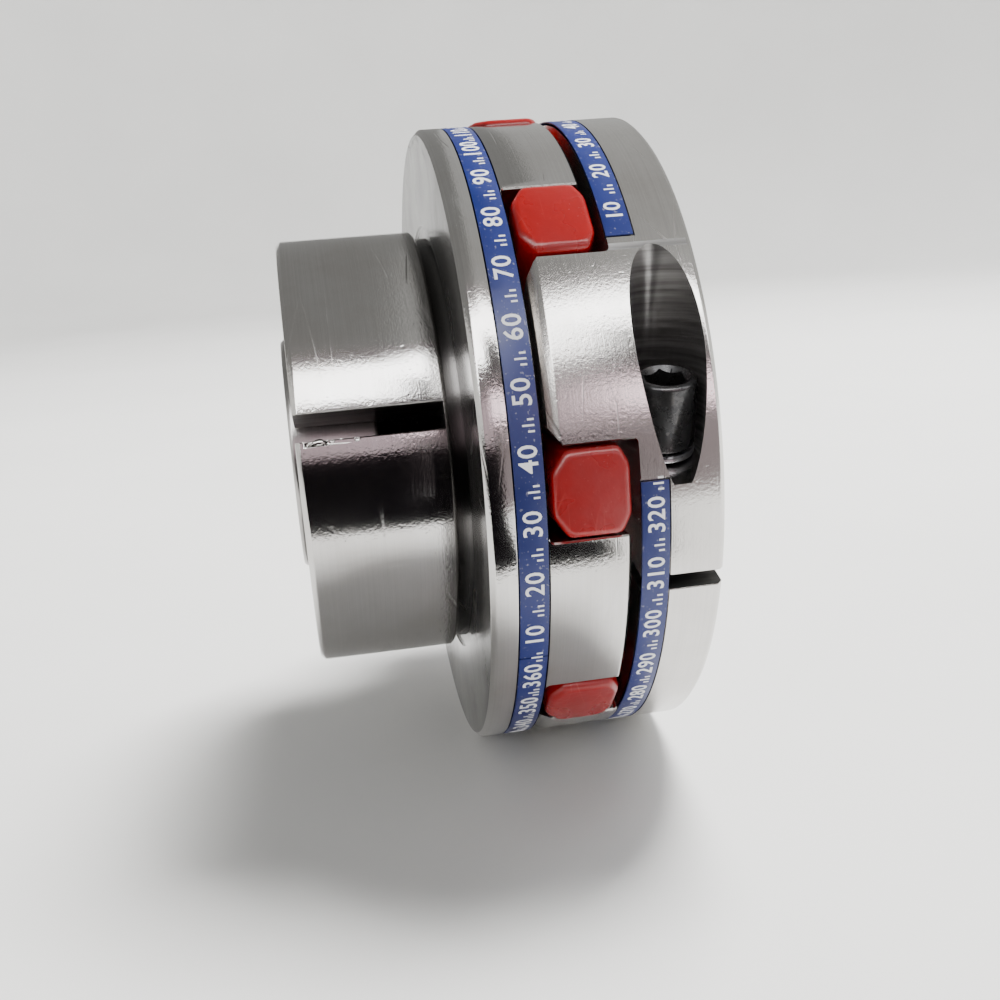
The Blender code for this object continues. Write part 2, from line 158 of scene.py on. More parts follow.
# Label bands and their figures
BAND_DEPTH = 0.2 * MM
BAND_SINK = 0.02 * MM
BAND_OVERLAP = 0.15 * MM
BAND_EASE = 0.05 * MM
FLANGE_FIGURE_HEIGHT = 2.1 * MM
CLAMP_FIGURE_HEIGHT = 1.9 * MM
FIGURE_THICKNESS = 0.02 * MM
FIGURE_WEIGHT = 0.035 * MM
CAPITAL_SHARE = 0.70
FIGURE_SPACING = 1.08
TICK_WIDTH = 0.22 * MM
TICK_SHARES = (0.34, 0.62)
SCALE_STEP = math.radians(10.0)
TICK_STEP = math.radians(0.9)
SEAM_HALF_ANGLE = math.radians(0.15)
BAND_END_GAP = math.radians(0.4)

# How near a face has to lie to count as part of a surface
NEAR = 0.01 * MM
FACE_MARGIN = 0.2 * MM
SQUARE_ON = 0.99
POCKET_WALL = (0.97, 1.01)

# Lighting
NEAR_CARD = 165 * MM
FAR_CARD = 500 * MM
FAR_END = 1300 * MM
CARD_SPLIT = 75 * MM
# Where the black floor card lies in front of the coupling: painted shade of the floor, seen only in
# reflections.
FLOOR_SHADE_CARD = (80 * MM, 161 * MM)
NEAR_SPLIT = 38 * MM
FLOOR_SPLIT = 36 * MM
CARD_STEPS = 12
BLACK = (0.006, 0.005, 0.006)
PINK = (0.95, 0.74, 0.80)
DIM = (0.50, 0.42, 0.43)
GREY = (0.33, 0.33, 0.32)
WHITE_LIGHT = (1.0, 1.0, 1.0)
FRONT_CARD = (-14.4, 7.0)
WORLD_COLOUR = (0.86, 0.87, 0.88, 1.0)
WORLD_STRENGTH = 0.27

# Far cards on each side: name, the elevations in degrees where they begin and end, colour, strength
LEFT_CARDS = (
    ("ceiling_card", 60.0, 168.0, GREY, 0.9),
    ("warm_card", 7.0, 22.0, PINK, 0.9),
    ("dim_card", 22.0, 33.0, DIM, 0.5),
    ("soft_box", 33.0, 52.0, WHITE_LIGHT, 9.0),
    ("shade_card", 52.0, 60.0, DIM, 0.5),
)
RIGHT_CARDS = (
    ("right_ceiling_card", 60.0, 168.0, GREY, 1.7),
    ("right_gap_card", 7.0, 14.0, DIM, 0.4),
    ("right_warm_card", 14.0, 24.0, PINK, 4.0),
    ("right_dim_card", 24.0, 43.0, DIM, 0.15),
    ("right_soft_box", 43.0, 56.0, WHITE_LIGHT, 9.0),
    ("right_shade_card", 56.0, 60.0, DIM, 1.2),
)

# Lights: name, place, size, power in watts, colour
AREA_LIGHTS = (
    ("key", (0.28, 0.26, 0.80), (0.35, 0.3), 28.0, (1.0, 0.99, 0.97)),
    ("fill", (0.7, 0.35, 0.6), (0.6, 0.6), 4.0, (0.95, 0.97, 1.0)),
)

# Floor and camera
FLOOR_GAP = 0.02 * MM
FLOOR_CARD_GAP = 0.3 * MM
FLOOR_BEND = 250 * MM
FLOOR_RADIUS = 900 * MM
WALL_HEIGHT = 700 * MM
CAMERA_PLACE = (-17.2 * MM, -163.3 * MM, 30.0 * MM)
CAMERA_AZIMUTH = math.radians(-8.73)
CAMERA_TILT = math.radians(90.0 - 13.50)
CAMERA_ROLL = math.radians(-4.28)
CAMERA_LENS = 43.2
SENSOR_WIDTH = 36.0
CAMERA_CLIP = 5 * MM

# Depths of surface marks
MILL_LINE_DEPTH = 0.010 * MM
MILL_WAVE_DEPTH = 0.03 * MM
MILL_GRAIN_DEPTH = 0.006 * MM
OXIDE_DEPTH = 0.012 * MM
RIPPLE_DEPTH = 0.05 * MM
WRINKLE_DEPTH = 0.03 * MM
PLATE_DEPTH = 0.01 * MM
RED_SCATTER = (1.0 * MM, 0.2 * MM, 0.1 * MM)

# Fineness
FINE = 288
MEDIUM = 96
SOFT_EDGE = 0.12 * MM
DEBURR = 0.22 * MM
OVERRUN = 1.0 * MM
REACH = 70.0 * MM


# ---------------------------------------------------------------- mesh tools


def mesh_object(name, work, matrix=None):
    """Ends a bmesh: normals outwards, moved by matrix, in a new object."""
    bmesh.ops.recalc_face_normals(work, faces=work.faces)
    if matrix:
        bmesh.ops.transform(work, matrix=matrix, verts=work.verts)
    mesh = bpy.data.meshes.new(name)
    work.to_mesh(mesh)
    work.free()
    made = bpy.data.objects.new(name, mesh)
    SCENE.collection.objects.link(made)
    return made


def soften(points, size=SOFT_EDGE, closed=True):
    """Rounds each corner of a profile with three points, no larger than its sides allow."""
    rounded = []
    last = len(points) - 1
    for i, (station, radius) in enumerate(points):
        here = Vector((station, radius))
        if not closed and i in (0, last):
            rounded.append((station, radius))
            continue
        before = Vector(points[i - 1]) - here
        after = Vector(points[(i + 1) % len(points)]) - here
        reach = min(size, 0.4 * before.length, 0.4 * after.length)
        first = here + reach * before.normalized()
        third = here + reach * after.normalized()
        middle = (first + third + 2 * here) / 4
        rounded += [tuple(first), tuple(middle), tuple(third)]
    return rounded


def add_lathe(work, profile, segments):
    """Turns a profile of (station, radius) points about X. It is closed, or ends on the axis."""
    rings = []
    for station, radius in profile:
        count = segments if radius > 0 else 1
        ring = []
        for i in range(count):
            angle = 2 * math.pi * i / count
            place = (station, radius * math.cos(angle), radius * math.sin(angle))
            ring.append(work.verts.new(place))
        rings.append(ring)
    following = rings[1:]
    if profile[0][1] > 0:
        following = following + rings[:1]
    for first, second in zip(rings, following):
        for i in range(segments):
            j = (i + 1) % segments
            corners = [
                first[i % len(first)],
                first[j % len(first)],
                second[j % len(second)],
                second[i % len(second)],
            ]
            work.faces.new(list(dict.fromkeys(corners)))


def lathe(name, profile, segments=FINE, matrix=None):
    work = bmesh.new()
    add_lathe(work, profile, segments)
    return mesh_object(name, work, matrix)


def add_loft(work, sections, turn=0.0):
    """A solid through (station, outline) sections, turned about X. An outline is (y, z) points."""
    rotation = Matrix.Rotation(turn, 4, "X")
    rings = []
    for station, outline in sections:
        rings.append([work.verts.new(rotation @ Vector((station, y, z))) for y, z in outline])
    for first, second in zip(rings, rings[1:]):
        for i in range(len(first)):
            j = (i + 1) % len(first)
            work.faces.new((first[i], first[j], second[j], second[i]))
    work.faces.new(rings[0])
    work.faces.new(rings[-1])


def boolean(target, other, operation="DIFFERENCE"):
    """Applies one Boolean and removes the other object."""
    step = target.modifiers.new(operation, "BOOLEAN")
    step.operation = operation
    step.solver = "EXACT"
    step.object = other
    graph = bpy.context.evaluated_depsgraph_get()
    made = bpy.data.meshes.new_from_object(target.evaluated_get(graph))
    target.modifiers.clear()
    target.data = made
    bpy.data.objects.remove(other)


def finish_piece(piece, finish, body, replaced=(), sharp=35.0, others=()):
    """Others are (material, test) pairs: the test takes a face's centre and normal, and picks
    the faces that have this material."""
    piece.data.materials.clear()
    piece.data.materials.append(finish)
    for face in piece.data.polygons:
        face.material_index = 0
    for index, (other, test) in enumerate(others, 1):
        piece.data.materials.append(other)
        for face in piece.data.polygons:
            if test(face.center, face.normal):
                face.material_index = index
    piece.data.shade_smooth()
    piece.data.set_sharp_from_angle(angle=math.radians(sharp))
    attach(piece, body)
    if replaced:
        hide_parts(*replaced)
    return piece


# ---------------------------------------------------------------- material tools


def new_material(name):
    made = bpy.data.materials.new(name)
    made.use_nodes = True
    return made, made.node_tree, made.node_tree.nodes["Principled BSDF"]


def add_node(tree, kind, inputs=None, **settings):
    node = tree.nodes.new(kind)
    for key, value in settings.items():
        setattr(node, key, value)
    for key, value in (inputs or {}).items():
        if isinstance(value, bpy.types.NodeSocket):
            tree.links.new(value, node.inputs[key])
        else:
            node.inputs[key].default_value = value
    return node


def calc(tree, operation, first, second=0.0):
    node = add_node(tree, "ShaderNodeMath", {0: first, 1: second}, operation=operation)
    return node.outputs[0]


def stretched(tree, scale, turn=(0.0, 0.0, 0.0)):
    """Object coordinates, in metres, turned and multiplied by scale."""
    place = add_node(tree, "ShaderNodeTexCoord").outputs["Object"]
    inputs = {"Vector": place, "Scale": scale, "Rotation": turn}
    return add_node(tree, "ShaderNodeMapping", inputs).outputs["Vector"]


def noise(tree, vector, detail=3.0, roughness=0.55, w=None):
    inputs = {"Vector": vector, "Scale": 1.0, "Detail": detail, "Roughness": roughness}
    if w is None:
        return add_node(tree, "ShaderNodeTexNoise", inputs).outputs["Fac"]
    inputs["W"] = w
    return add_node(tree, "ShaderNodeTexNoise", inputs, noise_dimensions="4D").outputs["Fac"]


def spread(tree, value, from_low, from_high, to_low, to_high):
    inputs = {
        "Value": value,
        "From Min": from_low,
        "From Max": from_high,
        "To Min": to_low,
        "To Max": to_high,
    }
    return add_node(tree, "ShaderNodeMapRange", inputs).outputs["Result"]


def mix_colour(tree, factor, first, second):
    node = add_node(tree, "ShaderNodeMix", {0: factor}, data_type="RGBA")
    for index, colour in ((6, first), (7, second)):
        if isinstance(colour, bpy.types.NodeSocket):
            tree.links.new(colour, node.inputs[index])
        else:
            node.inputs[index].default_value = (*colour, 1.0)
    return node.outputs[2]


def bump(tree, shader, height, depth, strength=1.0):
    inputs = {"Height": height, "Distance": depth, "Strength": strength}
    node = add_node(tree, "ShaderNodeBump", inputs)
    tree.links.new(node.outputs["Normal"], shader.inputs["Normal"])


def axis_distance(tree):
    """How far a point lies from the coupling axis."""
    flat = stretched(tree, (0.0, 1.0, 1.0))
    return add_node(tree, "ShaderNodeVectorMath", {0: flat}, operation="LENGTH").outputs["Value"]


def scratches(tree, turn, length_scale, width_scale):
    """Thin sparse lines, 1 on a scratch and 0 elsewhere."""
    vector = stretched(tree, (width_scale, length_scale, length_scale), turn)
    inputs = {"Vector": vector, "Scale": 1.0}
    cells = add_node(tree, "ShaderNodeTexVoronoi", inputs, feature="DISTANCE_TO_EDGE")
    line = spread(tree, cells.outputs["Distance"], 0.0, 0.025, 1.0, 0.0)
    patch = noise(tree, stretched(tree, (90.0, 90.0, 90.0)), detail=2.0)
    return calc(tree, "MULTIPLY", line, spread(tree, patch, 0.52, 0.68, 0.0, 1.0))


def steel(name, colours, roughness, line_depth, grain_depth, line_pitch=0.14 * MM):
    """Turned steel: fine lines round the axis, a pitted grain, a few scratches and faint stains."""
    made, tree, shader = new_material(name)
    along = 1.0 / line_pitch
    reach = calc(tree, "MULTIPLY", axis_distance(tree), along)
    lines = noise(tree, stretched(tree, (along, 45.0, 45.0)), detail=2.0, w=reach)
    grain = noise(tree, stretched(tree, (2800.0, 2800.0, 2800.0)), detail=2.0, roughness=0.6)
    pits = spread(tree, noise(tree, stretched(tree, (1500.0,) * 3), detail=1.0), 0.66, 0.74, 0.0, 1.0)
    stains = noise(tree, stretched(tree, (70.0, 70.0, 70.0)), detail=5.0, roughness=0.65)
    marks = scratches(tree, (0.5, 0.7, 0.3), 45.0, 260.0)
    height = calc(tree, "MULTIPLY", lines, line_depth)
    height = calc(tree, "ADD", height, calc(tree, "MULTIPLY", grain, grain_depth))
    height = calc(tree, "SUBTRACT", height, calc(tree, "MULTIPLY", pits, grain_depth * 0.35))
    height = calc(tree, "SUBTRACT", height, calc(tree, "MULTIPLY", marks, grain_depth * 1.5))
    bump(tree, shader, height, 1.0)
    tint = mix_colour(tree, spread(tree, stains, 0.35, 0.7, 0.0, 1.0), *colours)
    shade = spread(tree, lines, 0.3, 0.7, 0.0, 0.16)
    dark = mix_colour(tree, shade, tint, (0.25, 0.24, 0.23))
    tree.links.new(dark, shader.inputs["Base Color"])
    rough = spread(tree, stains, 0.3, 0.75, roughness[0], roughness[1])
    rough = calc(tree, "ADD", rough, calc(tree, "MULTIPLY", marks, 0.12))
    tree.links.new(rough, shader.inputs["Roughness"])
    shader.inputs["Metallic"].default_value = 1.0
    shader.inputs["Anisotropic"].default_value = 0.6
    shader.inputs["Anisotropic Rotation"].default_value = 0.25
    tangent = add_node(tree, "ShaderNodeTangent", direction_type="RADIAL", axis="X")
    tree.links.new(tangent.outputs["Tangent"], shader.inputs["Tangent"])
    return made


def milled(name, colours, roughness, turn, pitch=0.11 * MM):
    """Milled steel: straight tool marks across its turned Z, darker than the outside. On the sides of the
    narrow slits its near-black colour is painted shade.
    """
    made, tree, shader = new_material(name)
    across = 1.0 / pitch
    lines = noise(tree, stretched(tree, (40.0, 40.0, across), turn), detail=3.0, roughness=0.6)
    broad = noise(tree, stretched(tree, (60.0, 60.0, across / 5), turn), detail=2.0)
    grain = noise(tree, stretched(tree, (2600.0,) * 3), detail=2.0)
    height = calc(tree, "MULTIPLY", lines, MILL_LINE_DEPTH)
    height = calc(tree, "ADD", height, calc(tree, "MULTIPLY", broad, MILL_WAVE_DEPTH))
    height = calc(tree, "ADD", height, calc(tree, "MULTIPLY", grain, MILL_GRAIN_DEPTH))
    bump(tree, shader, height, 1.0)
    tint = mix_colour(tree, spread(tree, broad, 0.3, 0.7, 0.0, 1.0), *colours)
    tree.links.new(tint, shader.inputs["Base Color"])
    tree.links.new(spread(tree, lines, 0.3, 0.7, *roughness), shader.inputs["Roughness"])
    shader.inputs["Metallic"].default_value = 1.0
    return made


def oxide(name):
    """Black oxide on steel: near black, oiled, with brown wear in patches."""
    made, tree, shader = new_material(name)
    wear = noise(tree, stretched(tree, (420.0,) * 3), detail=5.0, roughness=0.7)
    grain = noise(tree, stretched(tree, (3000.0,) * 3), detail=2.0)
    worn = spread(tree, wear, 0.5, 0.75, 0.0, 0.6)
    colour = mix_colour(tree, worn, (0.050, 0.050, 0.052), (0.19, 0.18, 0.175))
    tree.links.new(colour, shader.inputs["Base Color"])
    tree.links.new(spread(tree, wear, 0.3, 0.7, 0.36, 0.2), shader.inputs["Roughness"])
    tree.links.new(spread(tree, wear, 0.3, 0.7, 0.55, 0.95), shader.inputs["Metallic"])
    bump(tree, shader, grain, OXIDE_DEPTH)
    return made


def elastomer(name):
    """Glossy red polyurethane with a faint moulded ripple, dust and scuffs."""
    made, tree, shader = new_material(name)
    cloud = noise(tree, stretched(tree, (160.0,) * 3), detail=3.0)
    ripple = noise(tree, stretched(tree, (700.0,) * 3), detail=3.0)
    dust = spread(tree, noise(tree, stretched(tree, (2600.0,) * 3), detail=2.0), 0.66, 0.75, 0.0, 0.2)
    marks = scratches(tree, (0.2, 1.1, 0.6), 90.0, 420.0)
    red = mix_colour(tree, cloud, (0.29, 0.0010, 0.0015), (0.21, 0.0008, 0.0012))
    scuffed = mix_colour(tree, calc(tree, "MULTIPLY", marks, 0.4), red, (0.55, 0.10, 0.09))
    tree.links.new(mix_colour(tree, dust, scuffed, (0.45, 0.10, 0.09)), shader.inputs["Base Color"])
    rough = calc(tree, "ADD", spread(tree, cloud, 0.3, 0.7, 0.24, 0.36), calc(tree, "MULTIPLY", dust, 0.4))
    tree.links.new(rough, shader.inputs["Roughness"])
    shader.inputs["Subsurface Weight"].default_value = 0.08
    shader.inputs["Subsurface Radius"].default_value = RED_SCATTER
    shader.inputs["Coat Weight"].default_value = 0.15
    shader.inputs["Coat Roughness"].default_value = 0.18
    bump(tree, shader, ripple, RIPPLE_DEPTH)
    return made


def foil(name, light, dark, roughness):
    """Printed label foil, slightly wrinkled, rubbed and dusty."""
    made, tree, shader = new_material(name)
    cloud = noise(tree, stretched(tree, (240.0,) * 3), detail=4.0, roughness=0.6)
    specks = spread(tree, noise(tree, stretched(tree, (2300.0,) * 3), detail=2.0), 0.64, 0.72, 0.0, 0.3)
    wrinkle = noise(tree, stretched(tree, (500.0,) * 3), detail=3.0)
    ground = mix_colour(tree, cloud, dark, light)
    tree.links.new(mix_colour(tree, specks, ground, (0.5, 0.5, 0.55)), shader.inputs["Base Color"])
    tree.links.new(spread(tree, cloud, 0.3, 0.7, roughness, roughness + 0.15), shader.inputs["Roughness"])
    bump(tree, shader, wrinkle, WRINKLE_DEPTH)
    return made


def plated(name):
    """Bright zinc plate on a washer."""
    made, tree, shader = new_material(name)
    cloud = noise(tree, stretched(tree, (300.0,) * 3), detail=4.0)
    grain = noise(tree, stretched(tree, (2400.0,) * 3), detail=2.0)
    colour = mix_colour(tree, cloud, (0.62, 0.64, 0.67), (0.46, 0.46, 0.48))
    tree.links.new(colour, shader.inputs["Base Color"])
    tree.links.new(spread(tree, cloud, 0.3, 0.7, 0.2, 0.4), shader.inputs["Roughness"])
    shader.inputs["Metallic"].default_value = 1.0
    bump(tree, shader, grain, PLATE_DEPTH)
    return made


def floor_material(name):
    made, tree, shader = new_material(name)
    cloud = noise(tree, stretched(tree, (9.0, 9.0, 9.0)), detail=5.0, roughness=0.6)
    colour = mix_colour(tree, cloud, (0.80, 0.80, 0.79), (0.70, 0.70, 0.69))
    tree.links.new(colour, shader.inputs["Base Color"])
    shader.inputs["Roughness"].default_value = 0.55
    return made


STEEL = steel(
    "turned_steel",
    ((0.66, 0.645, 0.625), (0.56, 0.54, 0.52)),
    (0.17, 0.26),
    line_depth=0.008 * MM,
    grain_depth=0.016 * MM,
)
FINE_STEEL = steel(
    "fine_turned_steel",
    ((0.62, 0.61, 0.60), (0.54, 0.52, 0.50)),
    (0.11, 0.19),
    line_depth=0.004 * MM,
    grain_depth=0.014 * MM,
    line_pitch=0.1 * MM,
)
CONE_STEEL = steel(
    "ground_steel",
    ((0.45, 0.44, 0.43), (0.33, 0.32, 0.31)),
    (0.28, 0.42),
    line_depth=0.006 * MM,
    grain_depth=0.006 * MM,
)
# The flange's outer face, its undercut and the boss's neck: the turned steel with its colour made near
# black, painted shade on this face.
FLANGE_SHADE_STEEL = steel(
    "flange_face_painted_shade",
    ((0.115, 0.110, 0.108), (0.070, 0.068, 0.066)),
    (0.16, 0.30),
    line_depth=0.004 * MM,
    grain_depth=0.005 * MM,
    line_pitch=0.2 * MM,
)
POCKET_STEEL = milled(
    "milled_pocket",
    ((0.48, 0.475, 0.47), (0.22, 0.215, 0.21)),
    (0.30, 0.46),
    turn=(0.0, 0.0, 0.0),
)
# The sides of the slits: milled steel with its colour made near black, painted shade inside the narrow
# slits.
SLIT_SHADE_STEEL = milled(
    "sawn_slit_painted_shade",
    ((0.16, 0.155, 0.15), (0.06, 0.058, 0.056)),
    (0.30, 0.50),
    turn=(0.0, 1.2, 0.0),
)
OXIDE = oxide("black_oxide")
ZINC = plated("zinc_plate")
RED = elastomer("red_elastomer")
BLUE = foil("blue_foil", (0.011, 0.022, 0.15), (0.007, 0.014, 0.095), 0.28)
WHITE = foil("white_print", (0.82, 0.82, 0.84), (0.70, 0.70, 0.73), 0.4)


# ---------------------------------------------------------------- hubs


def wedge_outline(offset, chamfer):
    """The gap between two jaws, as (y, z) points round +Y, flared where it meets the rim."""
    half = ARM_PITCH / 2
    apex = Vector((-offset / math.sin(half), 0.0))
    along = Vector((math.cos(half), math.sin(half)))
    across = Vector((-math.sin(half), math.cos(half)))
    start = OUTER_RADIUS - chamfer
    reach = math.sqrt(start**2 - offset**2) + offset / math.tan(half)
    knee = apex + reach * along
    flare = knee + (chamfer + OVERRUN) * (along + across)
    far = flare + REACH * along
    upper = [knee, flare, far]
    lower = [Vector((point.x, -point.y)) for point in reversed(upper)]
    return [tuple(apex)] + [tuple(point) for point in upper + lower]


def add_jaw_gaps(work, floor, tip, first_angle, corner):
    """The gaps between one hub's jaws, rounded at the floor and cut back at the tips."""
    outwards = math.copysign(1.0, tip - floor)
    length, depth = corner
    sections = []
    for turn in ROOT_TURNS:
        rise = JAW_ROOT_RADIUS * (1.0 - math.cos(math.radians(turn)))
        fillet = JAW_ROOT_RADIUS * (1.0 - math.sin(math.radians(turn)))
        sections.append((floor + outwards * rise, wedge_outline(JAW_FLANK_OFFSET - fillet, DEBURR)))
    knee = tip - outwards * length
    sections.append((knee, wedge_outline(JAW_FLANK_OFFSET, DEBURR)))
    sections.append((tip, wedge_outline(JAW_FLANK_OFFSET + depth, DEBURR)))
    end = tip + outwards * OVERRUN
    sections.append((end, wedge_outline(JAW_FLANK_OFFSET + depth, DEBURR)))
    for i in range(JAWS):
        add_loft(work, sections, first_angle + i * 2 * ARM_PITCH)


def slit_outline(half_width, inner, rim, chamfer):
    """A slit as (y, z) points round +Y, flared where it meets the rim."""
    side = [
        (inner, half_width),
        (rim - chamfer, half_width),
        (rim + OVERRUN, half_width + chamfer + OVERRUN),
    ]
    return side + [(y, -z) for y, z in reversed(side)]


def cone_radius(station):
    return CONE_RADIUS - CONE_TAPER * (station - CONE_OUTER_END)


def add_nicks(work, stations, radius, angle, rng):
    """Small dents along one lip of a slit."""
    for station in stations:
        size = rng.uniform(*NICK_SIZES)
        place = Vector((station, radius * math.cos(angle), radius * math.sin(angle)))
        made = bmesh.ops.create_icosphere(work, subdivisions=2, radius=size)["verts"]
        for vert in made:
            vert.co.x *= rng.uniform(1.0, 1.9)
            vert.co += place


def in_slit(centre, normal, angle, half_width, inner):
    """Whether a face is one of the flat sides of a slit at this angle."""
    outwards = Vector((0.0, math.cos(angle), math.sin(angle)))
    across = Vector((0.0, -outwards.z, outwards.y))
    level = abs(abs(centre.dot(across)) - half_width) < 2 * NEAR
    return level and centre.dot(outwards) > inner and abs(normal.dot(across)) > SQUARE_ON


def in_boss_slit(centre, normal):
    if centre.x > BOSS_SLIT_END:
        return False
    angles = [BOSS_SLIT_ANGLE + i * 2 * ARM_PITCH for i in range(JAWS)]
    return any(in_slit(centre, normal, angle, BOSS_SLIT_WIDTH / 2, BOSS_SLIT_INNER) for angle in angles)


def in_clamp_slit(centre, normal):
    return in_slit(centre, normal, CLAMP_SLIT_ANGLE, CLAMP_SLIT_WIDTH / 2, BORE_RADIUS - MM)


def on_flange_face(centre, normal):
    """The flange's outer face, with the undercut and the boss's neck beside it."""
    radius = math.hypot(centre.y, centre.z)
    beside = BOSS_ROOT - NEAR < centre.x < UNDERCUT_DEPTH + NEAR
    return beside and NECK_RADIUS - FACE_MARGIN < radius < OUTER_RADIUS - RIM_CHAMFER


def expanding_hub_profile():
    relief = CONE_INNER_END + GAP
    groove_radius = OUTER_RADIUS - GROOVE_DEPTH
    groove_start = FLANGE_BAND_LOW.x - GAP
    return [
        (HUB_JAW_TIP, OUTER_RADIUS - HUB_JAW_CHAMFER),
        (HUB_JAW_TIP - HUB_JAW_CHAMFER, OUTER_RADIUS),
        (HUB_FLOOR, OUTER_RADIUS),
        (HUB_FLOOR, groove_radius),
        (groove_start, groove_radius),
        (groove_start, OUTER_RADIUS),
        (RIM_CHAMFER, OUTER_RADIUS),
        (0.0, OUTER_RADIUS - RIM_CHAMFER),
        (0.0, UNDERCUT_RADIUS),
        (UNDERCUT_DEPTH, UNDERCUT_RADIUS),
        (UNDERCUT_DEPTH, NECK_RADIUS),
        (BOSS_ROOT, NECK_RADIUS),
        (BOSS_ROOT, BOSS_RADIUS - HUB_EDGE),
        (BOSS_ROOT - HUB_EDGE, BOSS_RADIUS),
        (BOSS_END + RIM_CHAMFER, BOSS_RADIUS),
        (BOSS_END, BOSS_RADIUS - RIM_CHAMFER),
        (BOSS_END, cone_radius(BOSS_END) + GAP),
        (relief, cone_radius(relief) + GAP),
        (BOSS_SLIT_END, cone_radius(relief) + GAP),
        (BOSS_SLIT_END, SCREW_HOLE_RADIUS),
        (SCREW_SEAT, SCREW_HOLE_RADIUS),
        (SCREW_SEAT, SEAT_RADIUS),
        (HUB_FLOOR - HUB_EDGE, SEAT_RADIUS),
        (HUB_FLOOR, SEAT_RADIUS + HUB_EDGE),
        (HUB_FLOOR, JAW_INNER_RADIUS),
        (HUB_JAW_TIP - HUB_EDGE, JAW_INNER_RADIUS),
        (HUB_JAW_TIP, JAW_INNER_RADIUS + HUB_EDGE),
    ]


def cut_boss_slits(hub):
    slits = bmesh.new()
    outline = slit_outline(BOSS_SLIT_WIDTH / 2, BOSS_SLIT_INNER, BOSS_RADIUS, DEBURR)
    for i in range(JAWS):
        angle = BOSS_SLIT_ANGLE + i * 2 * ARM_PITCH
        add_loft(slits, [(BOSS_END - OVERRUN, outline), (BOSS_SLIT_END, outline)], angle)
    boolean(hub, mesh_object("boss_slits", slits))


def cut_boss_nicks(hub):
    nicks = bmesh.new()
    rng = random.Random(4)
    lip = BOSS_SLIT_WIDTH / 2 + DEBURR
    for i in range(JAWS):
        angle = BOSS_SLIT_ANGLE + i * 2 * ARM_PITCH + lip / BOSS_RADIUS
        stations = [rng.uniform(BOSS_END, BOSS_ROOT) for _ in range(NICKS)]
        add_nicks(nicks, stations, BOSS_RADIUS, angle, rng)
    boolean(hub, mesh_object("boss_nicks", nicks))


def make_expanding_hub():
    hub = lathe("expanding_hub_body", soften(expanding_hub_profile()))
    gaps = bmesh.new()
    add_jaw_gaps(gaps, HUB_FLOOR, HUB_JAW_TIP, CLAMP_JAW_ANGLE, HUB_JAW_CORNER)
    boolean(hub, mesh_object("hub_gaps", gaps))
    cut_boss_slits(hub)
    cut_boss_nicks(hub)
    others = ((FLANGE_SHADE_STEEL, on_flange_face), (SLIT_SHADE_STEEL, in_boss_slit))
    finish_piece(hub, FINE_STEEL, "expanding_hub", ["expanding_hub"], others=others)


def screw_frame():
    """A matrix whose X is the clamping screw's axis, Y points outwards and Z is the coupling axis."""
    outwards = Vector((0.0, math.cos(CLAMP_SLIT_ANGLE), math.sin(CLAMP_SLIT_ANGLE)))
    axis = Vector((0.0, outwards.z, -outwards.y))
    place = Vector((CLAMP_SCREW_STATION, 0.0, 0.0)) + CLAMP_SCREW_RADIAL * outwards
    rotation = Matrix((axis, outwards, axis.cross(outwards))).transposed().to_4x4()
    return Matrix.Translation(place) @ rotation


SCREW_FRAME = screw_frame()


def pocket_cutter():
    work = bmesh.new()
    outline = []
    for i in range(MEDIUM):
        angle = 2 * math.pi * i / MEDIUM
        outline.append((POCKET_HALF_LENGTH * math.sin(angle), POCKET_HALF_WIDTH * math.cos(angle)))
    add_loft(work, [(POCKET_FLOOR, outline), (REACH, outline)])
    return mesh_object("pocket_cutter", work, SCREW_FRAME)


def in_pocket(centre, normal):
    local = SCREW_FRAME.inverted() @ centre
    if local.x < POCKET_FLOOR + NEAR:
        return False
    ellipse = math.hypot(local.y / POCKET_HALF_LENGTH, local.z / POCKET_HALF_WIDTH)
    return POCKET_WALL[0] < ellipse < POCKET_WALL[1]


def hole_cutter():
    top = POCKET_FLOOR + OVERRUN
    profile = [
        (top, 0.0),
        (top, CLAMP_HOLE_RADIUS),
        (-CLAMP_HOLE_DEPTH, CLAMP_HOLE_RADIUS),
        (-CLAMP_HOLE_DEPTH, 0.0),
    ]
    return lathe("hole_cutter", profile, MEDIUM, SCREW_FRAME)


def arc_outline(inner, outer, half_angle, steps):
    """A ring's sector about +Y, as (y, z) points."""
    points = []
    for radius, ends in ((inner, (-1, 1)), (outer, (1, -1))):
        for i in range(steps + 1):
            angle = half_angle * (ends[0] + (ends[1] - ends[0]) * i / steps)
            points.append((radius * math.cos(angle), radius * math.sin(angle)))
    return points


def groove_cutter():
    """The shallow groove under the clamping hub's label, left open over the screw's jaw."""
    work = bmesh.new()
    half = math.pi - BAND_OPENING_HALF_ANGLE
    outline = arc_outline(OUTER_RADIUS - GROOVE_DEPTH, OUTER_RADIUS + OVERRUN, half, FINE)
    low = CLAMP_FLOOR - OVERRUN / 10
    high = CLAMP_BAND_HIGH.x + GAP
    add_loft(work, [(low, outline), (high, outline)], BAND_OPENING_CENTRE + math.pi)
    return mesh_object("groove_cutter", work)


